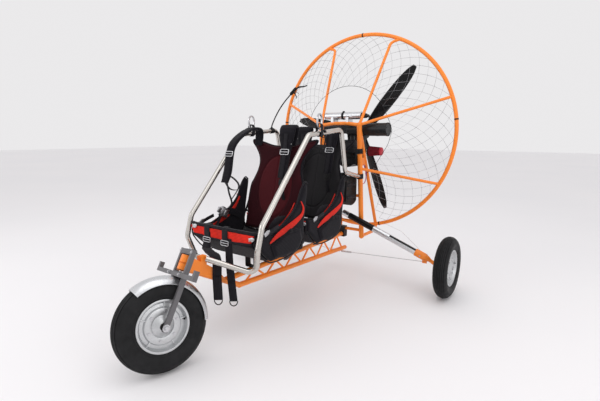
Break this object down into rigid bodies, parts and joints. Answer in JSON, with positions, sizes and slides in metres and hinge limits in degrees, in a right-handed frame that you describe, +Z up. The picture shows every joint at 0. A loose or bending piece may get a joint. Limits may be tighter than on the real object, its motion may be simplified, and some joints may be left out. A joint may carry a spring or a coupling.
{
  "type": "two-seat paramotor trike",
  "caption": "Microlight trike with tandem bucket seats on a welded keel, a caged pusher propeller, outrigged rear wheels and a steered front wheel with a foot bar.",
  "frame": {"origin": "on the ground under the middle of the machine's bounding box", "axes": "+X forward, +Y to the left, +Z up"},
  "size_m": [2.1403, 1.68, 1.801],
  "materials": {
    "orange_paint": "gloss",
    "grey_paint": "satin",
    "stainless": "polished",
    "zinc_steel": "satin",
    "aluminium": "satin",
    "dark_metal": "satin",
    "black_paint": "satin",
    "black_plastic": "matt",
    "black_fabric": "woven",
    "maroon_fabric": "woven",
    "red_foam": "open foam",
    "tyre_rubber": "moulded",
    "composite": "gloss"
  },
  "bodies": {
    "chassis": {"keel_frame": "orange_paint", "head_tube": "orange_paint", "side_bar_left": "stainless", "side_bar_right": "stainless", "frame_side_left": "orange_paint", "frame_side_right": "orange_paint", "frame_cross_tubes": "orange_paint", "frame_clamps": "black_plastic", "cage_ring": "orange_paint", "ring_sleeves": "black_plastic", "cage_spokes": "orange_paint", "axle_tubes": "aluminium", "wheel_holders": "orange_paint", "axle_stays": "zinc_steel", "engine_block": "dark_metal", "reduction_drive": "dark_metal", "silencer": "black_paint", "exhaust_can": "aluminium", "air_filter": "red_foam", "fuel_tank": "black_plastic", "front_seat_tub": "black_fabric", "front_seat_back": "maroon_fabric", "rear_seat_tub": "black_fabric", "rear_seat_back": "black_fabric", "front_shoulder_straps": "black_fabric", "rear_shoulder_straps": "black_fabric", "leg_straps": "black_fabric", "seat_lashings": "black_fabric", "hang_loops": "black_fabric", "karabiners": "zinc_steel", "throttle_cable": "black_plastic", "throttle_grip": "black_plastic"},
    "fork": {"fork": "grey_paint", "steering_pin": "zinc_steel", "foot_bar": "grey_paint", "mudguard": "aluminium", "front_axle": "zinc_steel"},
    "front_wheel": {"front_tyre": "tyre_rubber", "front_rim": "aluminium"},
    "rear_wheel_left": {"rear_tyre_left": "tyre_rubber", "rear_rim_left": "aluminium"},
    "rear_wheel_right": {"rear_tyre_right": "tyre_rubber", "rear_rim_right": "aluminium"},
    "propeller": {"prop_hub": "dark_metal", "prop_blades": "composite"}
  },
  "joints": [
    {"name": "steering", "type": "hinge", "parent": "chassis", "child": "fork", "pos_m": [0.8695, 0, 0.208], "axis": [-0.4848, 0, 0.8746], "range_deg": [-16, 54]},
    {"name": "front_wheel_spin", "type": "hinge", "parent": "fork", "child": "front_wheel", "pos_m": [0.8695, 0, 0.208], "axis": [0.2847, 0.9455, 0.1578], "continuous": true},
    {"name": "rear_wheel_left_spin", "type": "hinge", "parent": "chassis", "child": "rear_wheel_left", "pos_m": [-0.7105, 0.795, 0.2], "axis": [0, 1, 0], "continuous": true},
    {"name": "rear_wheel_right_spin", "type": "hinge", "parent": "chassis", "child": "rear_wheel_right", "pos_m": [-0.7105, -0.795, 0.2], "axis": [0, 1, 0], "continuous": true},
    {"name": "propeller_spin", "type": "hinge", "parent": "chassis", "child": "propeller", "pos_m": [-1.0455, 0, 1.061], "axis": [1, 0, 0], "continuous": true}
  ]
}
